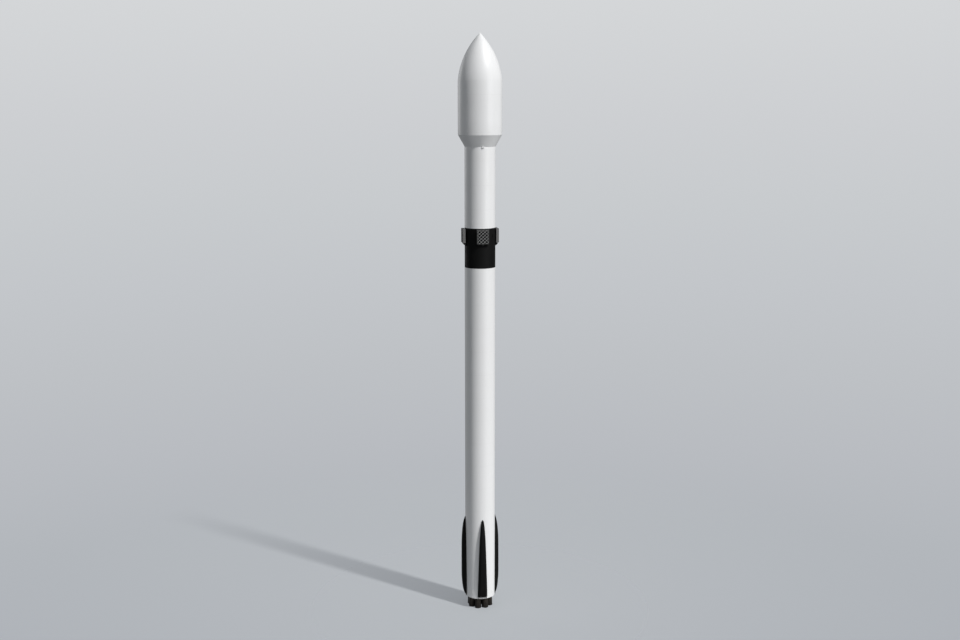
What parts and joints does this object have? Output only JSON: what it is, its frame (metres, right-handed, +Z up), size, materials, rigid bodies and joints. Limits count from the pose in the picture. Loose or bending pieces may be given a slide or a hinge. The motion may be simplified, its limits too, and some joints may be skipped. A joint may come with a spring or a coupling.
{
  "type": "1:2 scale two-stage space rocket",
  "caption": "Slender two-stage space rocket at half scale, upright, with folded landing legs, folded grid fins, gimballed engines and a payload fairing that opens in two halves.",
  "frame": {"origin": "on the rocket's axis, at the underside of the first stage's base ring, where the launch mount holds it; the engine bells hang below it", "axes": "+Z up along the rocket's axis towards the nose; -Y towards the front fairing half, grid fin 3 and leg 3; +X to the right seen from the front"},
  "size_m": [2.6, 2.6, 34.9995],
  "materials": {
    "white_paint": "satin white paint over aluminium and composite panels",
    "black_shell": "black carbon composite with a matt coat",
    "fin_metal": "cast and machined titanium, dull grey",
    "engine_metal": "heat-darkened nickel alloy",
    "bare_steel": "machined",
    "dark_shield": "dark ablative coat",
    "bare_aluminium": "machined"
  },
  "bodies": {
    "first_stage": {"thrust_section": "white_paint", "heat_shield": "dark_shield", "fuel_tank": "white_paint", "oxidiser_tank": "white_paint", "leg_1": "black_shell", "leg_2": "black_shell", "leg_3": "black_shell", "leg_4": "black_shell", "leg_hinge_1": "bare_steel", "leg_hinge_2": "bare_steel", "leg_hinge_3": "bare_steel", "leg_hinge_4": "bare_steel", "raceway_1": "white_paint", "interstage": "black_shell", "fin_bracket_1": "black_shell", "fin_bracket_2": "black_shell", "fin_bracket_3": "black_shell", "fin_bracket_4": "black_shell"},
    "fin_1": {"grid_fin_1": "fin_metal"},
    "fin_2": {"grid_fin_2": "fin_metal"},
    "fin_3": {"grid_fin_3": "fin_metal"},
    "fin_4": {"grid_fin_4": "fin_metal"},
    "second_stage": {"stage2_tank": "white_paint", "stage2_engine": "engine_metal", "stage2_nozzle": "engine_metal", "raceway_2": "white_paint", "payload_adapter": "bare_aluminium", "fairing_hinge_front": "white_paint", "fairing_hinge_back": "white_paint"},
    "fairing_front_half": {"fairing_front": "white_paint"},
    "fairing_back_half": {"fairing_back": "white_paint"},
    "cross_1": {"gimbal_1": "bare_steel"},
    "bell_1": {"engine_1": "engine_metal"},
    "cross_2": {"gimbal_2": "bare_steel"},
    "bell_2": {"engine_2": "engine_metal"},
    "cross_3": {"gimbal_3": "bare_steel"},
    "bell_3": {"engine_3": "engine_metal"},
    "cross_4": {"gimbal_4": "bare_steel"},
    "bell_4": {"engine_4": "engine_metal"},
    "cross_5": {"gimbal_5": "bare_steel"},
    "bell_5": {"engine_5": "engine_metal"},
    "cross_6": {"gimbal_6": "bare_steel"},
    "bell_6": {"engine_6": "engine_metal"},
    "cross_7": {"gimbal_7": "bare_steel"},
    "bell_7": {"engine_7": "engine_metal"},
    "cross_8": {"gimbal_8": "bare_steel"},
    "bell_8": {"engine_8": "engine_metal"},
    "cross_9": {"gimbal_9": "bare_steel"},
    "bell_9": {"engine_9": "engine_metal"}
  },
  "joints": [
    {"name": "fin_1_fold", "type": "hinge", "parent": "first_stage", "child": "fin_1", "pos_m": [0, 0.985, 22.075], "axis": [-1, 0, 0], "range_deg": [0, 90]},
    {"name": "fin_2_fold", "type": "hinge", "parent": "first_stage", "child": "fin_2", "pos_m": [-0.985, 0, 22.075], "axis": [0, -1, 0], "range_deg": [0, 90]},
    {"name": "fin_3_fold", "type": "hinge", "parent": "first_stage", "child": "fin_3", "pos_m": [0, -0.985, 22.075], "axis": [1, 0, 0], "range_deg": [0, 90]},
    {"name": "fin_4_fold", "type": "hinge", "parent": "first_stage", "child": "fin_4", "pos_m": [0.985, 0, 22.075], "axis": [0, 1, 0], "range_deg": [0, 90]},
    {"name": "stage_separation", "type": "slide", "parent": "first_stage", "child": "second_stage", "axis": [0, 0, 1], "range_m": [0, 2.2]},
    {"name": "fairing_front_open", "type": "hinge", "parent": "second_stage", "child": "fairing_front_half", "pos_m": [0, -0.945, 27.775], "axis": [1, 0, 0], "range_deg": [0, 60]},
    {"name": "fairing_back_open", "type": "hinge", "parent": "second_stage", "child": "fairing_back_half", "pos_m": [0, 0.945, 27.775], "axis": [-1, 0, 0], "range_deg": [0, 60]},
    {"name": "engine_1_pitch", "type": "hinge", "parent": "first_stage", "child": "cross_1", "pos_m": [0.53585, 0.22196, 0.5], "axis": [1, 0, 0], "range_deg": [-5, 5]},
    {"name": "engine_1_yaw", "type": "hinge", "parent": "cross_1", "child": "bell_1", "pos_m": [0.53585, 0.22196, 0.5], "axis": [0, 1, 0], "range_deg": [-5, 5]},
    {"name": "engine_2_pitch", "type": "hinge", "parent": "first_stage", "child": "cross_2", "pos_m": [0.22196, 0.53585, 0.5], "axis": [1, 0, 0], "range_deg": [-5, 5]},
    {"name": "engine_2_yaw", "type": "hinge", "parent": "cross_2", "child": "bell_2", "pos_m": [0.22196, 0.53585, 0.5], "axis": [0, 1, 0], "range_deg": [-5, 5]},
    {"name": "engine_3_pitch", "type": "hinge", "parent": "first_stage", "child": "cross_3", "pos_m": [-0.22196, 0.53585, 0.5], "axis": [1, 0, 0], "range_deg": [-5, 5]},
    {"name": "engine_3_yaw", "type": "hinge", "parent": "cross_3", "child": "bell_3", "pos_m": [-0.22196, 0.53585, 0.5], "axis": [0, 1, 0], "range_deg": [-5, 5]},
    {"name": "engine_4_pitch", "type": "hinge", "parent": "first_stage", "child": "cross_4", "pos_m": [-0.53585, 0.22196, 0.5], "axis": [1, 0, 0], "range_deg": [-5, 5]},
    {"name": "engine_4_yaw", "type": "hinge", "parent": "cross_4", "child": "bell_4", "pos_m": [-0.53585, 0.22196, 0.5], "axis": [0, 1, 0], "range_deg": [-5, 5]},
    {"name": "engine_5_pitch", "type": "hinge", "parent": "first_stage", "child": "cross_5", "pos_m": [-0.53585, -0.22196, 0.5], "axis": [1, 0, 0], "range_deg": [-5, 5]},
    {"name": "engine_5_yaw", "type": "hinge", "parent": "cross_5", "child": "bell_5", "pos_m": [-0.53585, -0.22196, 0.5], "axis": [0, 1, 0], "range_deg": [-5, 5]},
    {"name": "engine_6_pitch", "type": "hinge", "parent": "first_stage", "child": "cross_6", "pos_m": [-0.22196, -0.53585, 0.5], "axis": [1, 0, 0], "range_deg": [-5, 5]},
    {"name": "engine_6_yaw", "type": "hinge", "parent": "cross_6", "child": "bell_6", "pos_m": [-0.22196, -0.53585, 0.5], "axis": [0, 1, 0], "range_deg": [-5, 5]},
    {"name": "engine_7_pitch", "type": "hinge", "parent": "first_stage", "child": "cross_7", "pos_m": [0.22196, -0.53585, 0.5], "axis": [1, 0, 0], "range_deg": [-5, 5]},
    {"name": "engine_7_yaw", "type": "hinge", "parent": "cross_7", "child": "bell_7", "pos_m": [0.22196, -0.53585, 0.5], "axis": [0, 1, 0], "range_deg": [-5, 5]},
    {"name": "engine_8_pitch", "type": "hinge", "parent": "first_stage", "child": "cross_8", "pos_m": [0.53585, -0.22196, 0.5], "axis": [1, 0, 0], "range_deg": [-5, 5]},
    {"name": "engine_8_yaw", "type": "hinge", "parent": "cross_8", "child": "bell_8", "pos_m": [0.53585, -0.22196, 0.5], "axis": [0, 1, 0], "range_deg": [-5, 5]},
    {"name": "engine_9_pitch", "type": "hinge", "parent": "first_stage", "child": "cross_9", "pos_m": [0, 0, 0.5], "axis": [1, 0, 0], "range_deg": [-5, 5]},
    {"name": "engine_9_yaw", "type": "hinge", "parent": "cross_9", "child": "bell_9", "pos_m": [0, 0, 0.5], "axis": [0, 1, 0], "range_deg": [-5, 5]}
  ],
  "couplings": [
    {"joint": "engine_1_pitch", "follows": "engine_9_pitch", "ratio": 1},
    {"joint": "engine_1_yaw", "follows": "engine_9_yaw", "ratio": 1},
    {"joint": "engine_2_pitch", "follows": "engine_9_pitch", "ratio": 1},
    {"joint": "engine_2_yaw", "follows": "engine_9_yaw", "ratio": 1},
    {"joint": "engine_3_pitch", "follows": "engine_9_pitch", "ratio": 1},
    {"joint": "engine_3_yaw", "follows": "engine_9_yaw", "ratio": 1},
    {"joint": "engine_4_pitch", "follows": "engine_9_pitch", "ratio": 1},
    {"joint": "engine_4_yaw", "follows": "engine_9_yaw", "ratio": 1},
    {"joint": "engine_5_pitch", "follows": "engine_9_pitch", "ratio": 1},
    {"joint": "engine_5_yaw", "follows": "engine_9_yaw", "ratio": 1},
    {"joint": "engine_6_pitch", "follows": "engine_9_pitch", "ratio": 1},
    {"joint": "engine_6_yaw", "follows": "engine_9_yaw", "ratio": 1},
    {"joint": "engine_7_pitch", "follows": "engine_9_pitch", "ratio": 1},
    {"joint": "engine_7_yaw", "follows": "engine_9_yaw", "ratio": 1},
    {"joint": "engine_8_pitch", "follows": "engine_9_pitch", "ratio": 1},
    {"joint": "engine_8_yaw", "follows": "engine_9_yaw", "ratio": 1}
  ]
}
